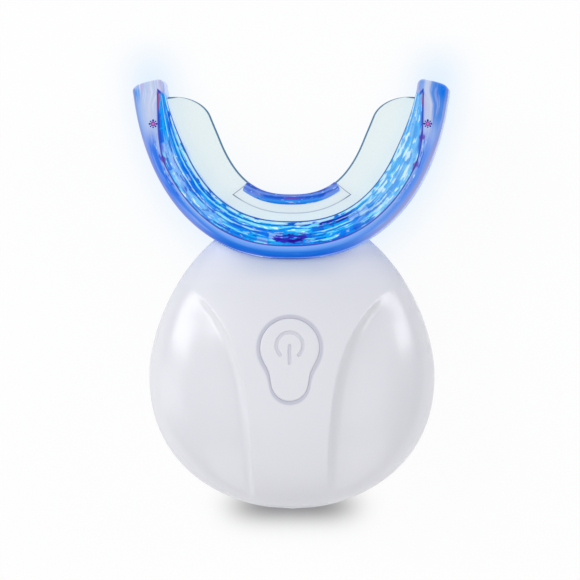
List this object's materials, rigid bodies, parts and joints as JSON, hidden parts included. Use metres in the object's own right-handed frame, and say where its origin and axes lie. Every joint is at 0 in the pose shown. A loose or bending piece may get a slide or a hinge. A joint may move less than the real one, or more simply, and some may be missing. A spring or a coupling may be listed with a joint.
{
  "type": "led teeth whitening light",
  "caption": "Cordless teeth whitening light: egg-shaped white handle with a keyhole power button and a clear U-shaped mouthpiece lit blue from within.",
  "frame": {"origin": "under the middle of the whole light, on the surface it lies on", "axes": "+Z out of the button face, +Y from the handle's round end to the tips of the mouthpiece, +X to the right seen from the button side"},
  "size_m": [0.0662, 0.0898, 0.027],
  "materials": {
    "gloss_white": "gloss",
    "button_white": "satin",
    "clear_soft": "clear, smooth",
    "clear_hard": "clear, polished",
    "blue_light": "lit lens",
    "grey_rubber": "matte",
    "white_rubber": "matte",
    "board_green": "solder mask",
    "flex_white": "satin",
    "black_plastic": "matte",
    "ivory_plastic": "matte",
    "steel": "plated",
    "battery_foil": "foil",
    "foam": "foam",
    "red_lead": "satin",
    "black_lead": "satin",
    "violet_pin": "gloss"
  },
  "bodies": {
    "handle": {"front_shell": "gloss_white", "rear_shell": "gloss_white", "button_seal": "grey_rubber", "shell_seal_left": "grey_rubber", "shell_seal_right": "grey_rubber", "case_screw_1": "steel", "case_screw_2": "steel", "case_screw_3": "steel", "case_screw_4": "steel", "board_screw_1": "steel", "board_screw_2": "steel", "main_board": "board_green", "switch_body": "black_plastic", "controller_chip": "black_plastic", "charger_chip": "black_plastic", "boost_inductor": "black_plastic", "buzzer": "black_plastic", "battery_connector": "ivory_plastic", "flex_connector": "ivory_plastic", "battery_cell": "battery_foil", "battery_pad": "foam", "battery_lead_red": "red_lead", "battery_lead_black": "black_lead", "usb_socket": "steel", "mouth_tray": "clear_soft", "light_housing": "clear_hard", "led_flex_strip": "flex_white", "led_01": "blue_light", "led_02": "blue_light", "led_03": "blue_light", "led_04": "blue_light", "led_05": "blue_light", "led_06": "blue_light", "led_07": "blue_light", "led_08": "blue_light", "led_09": "blue_light", "led_10": "blue_light", "led_11": "blue_light", "led_12": "blue_light", "led_13": "blue_light", "led_14": "blue_light", "led_15": "blue_light", "led_16": "blue_light", "mouthpiece_stem": "clear_hard", "stem_seal": "grey_rubber", "tray_pin_left": "violet_pin", "tray_pin_right": "violet_pin"},
    "button": {"power_button": "button_white"},
    "plunger": {"switch_plunger": "ivory_plastic"},
    "stopper": {"port_plug": "white_rubber"}
  },
  "joints": [
    {"name": "button_press", "type": "slide", "parent": "handle", "child": "button", "axis": [0, 0, -1], "range_m": [0, 0.0006], "stiffness_N_per_m": 1500},
    {"name": "switch_press", "type": "slide", "parent": "handle", "child": "plunger", "axis": [0, 0, -1], "range_m": [0, 0.0006]},
    {"name": "stopper_pull", "type": "slide", "parent": "handle", "child": "stopper", "axis": [0, -1, 0], "range_m": [0, 0.006]}
  ],
  "couplings": [
    {"joint": "switch_press", "follows": "button_press", "ratio": 1}
  ]
}
